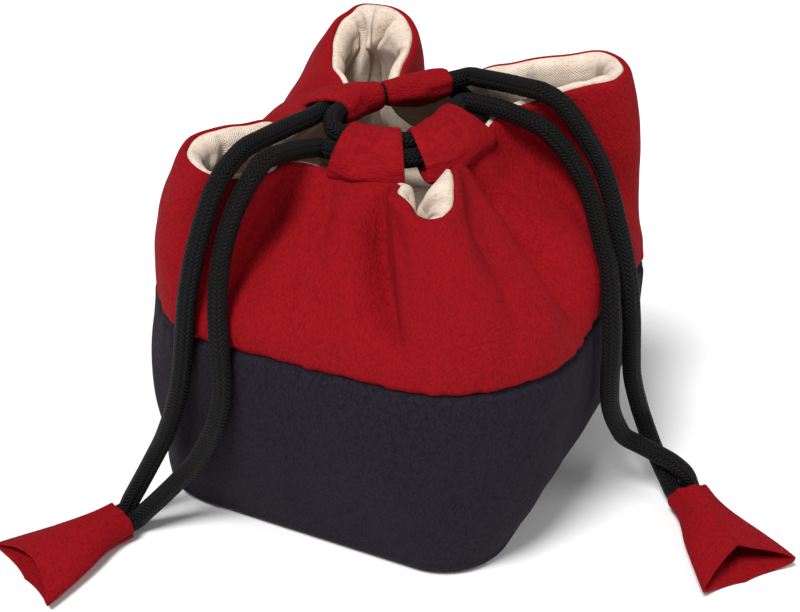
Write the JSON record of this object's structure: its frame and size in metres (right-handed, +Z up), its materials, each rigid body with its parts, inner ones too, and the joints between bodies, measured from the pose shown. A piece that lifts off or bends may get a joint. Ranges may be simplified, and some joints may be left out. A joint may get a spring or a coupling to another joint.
{
  "type": "tea set storage bag",
  "caption": "Padded drawstring pouch with a square base, gathered petal mouth, cloth loops, two braided cords and folded cloth cord ends.",
  "frame": {"origin": "centre of the bag's box on the surface that it stands on, without its hanging cords", "axes": "+Z up from the base to the mouth; -Y the side whose mouth fold opens to the front; +X to the right seen from there"},
  "size_m": [0.2145, 0.1849, 0.1264],
  "materials": {
    "red_crepe": "crepe weave, matte with a soft sheen",
    "navy_crepe": "crepe weave, matte",
    "linen": "undyed plain weave, matte",
    "black_cord": "fine braid, matte",
    "wadding": "soft fibre"
  },
  "bodies": {
    "bag": {"outer_base_panel": "navy_crepe", "lower_band": "navy_crepe", "upper_band": "red_crepe", "lining_wall": "linen", "lining_base": "linen", "base_wadding": "wadding", "front_wadding": "wadding", "right_wadding": "wadding", "back_wadding": "wadding", "left_wadding": "wadding", "front_loop": "red_crepe", "right_loop": "red_crepe", "back_loop": "red_crepe", "left_loop": "red_crepe", "left_held_cord": "black_cord", "right_held_cord": "black_cord"},
    "left_leads": {"left_back_lead": "black_cord", "left_front_lead": "black_cord"},
    "left_strands": {"left_back_strand": "black_cord", "left_front_strand": "black_cord"},
    "left_end": {"left_tulip": "red_crepe", "left_end_knot": "black_cord"},
    "right_leads": {"right_back_lead": "black_cord", "right_front_lead": "black_cord"},
    "right_strands": {"right_back_strand": "black_cord", "right_front_strand": "black_cord"},
    "right_end": {"right_tulip": "red_crepe", "right_end_knot": "black_cord"}
  },
  "joints": [
    {"name": "left_draw", "type": "slide", "parent": "bag", "child": "left_leads", "axis": [-0.6039, -0.7199, 0.342], "range_m": [0, 0.008]},
    {"name": "left_swing", "type": "hinge", "parent": "left_leads", "child": "left_strands", "pos_m": [-0.0202, -0.01, 0.1094], "axis": [-0.695, 0.719, 0], "range_deg": [0, 110], "deforming": ["left_back_lead", "left_front_lead", "left_back_strand", "left_front_strand"]},
    {"name": "left_tilt", "type": "hinge", "parent": "left_strands", "child": "left_end", "pos_m": [-0.0546, -0.0783, 0.0043], "axis": [-0.9272, 0.3746, 0], "range_deg": [0, 60]},
    {"name": "right_draw", "type": "slide", "parent": "bag", "child": "right_leads", "axis": [0.6831, 0.183, 0.7071], "range_m": [0, 0.008]},
    {"name": "right_swing", "type": "hinge", "parent": "right_leads", "child": "right_strands", "pos_m": [0.0081, 0.0224, 0.1147], "axis": [0.087, -0.9962, 0], "range_deg": [0, 110], "deforming": ["right_back_lead", "right_front_lead", "right_back_strand", "right_front_strand"]},
    {"name": "right_tilt", "type": "hinge", "parent": "right_strands", "child": "right_end", "pos_m": [0.094, 0.0065, 0.0043], "axis": [-0.7193, -0.6947, 0], "range_deg": [0, 60]}
  ]
}
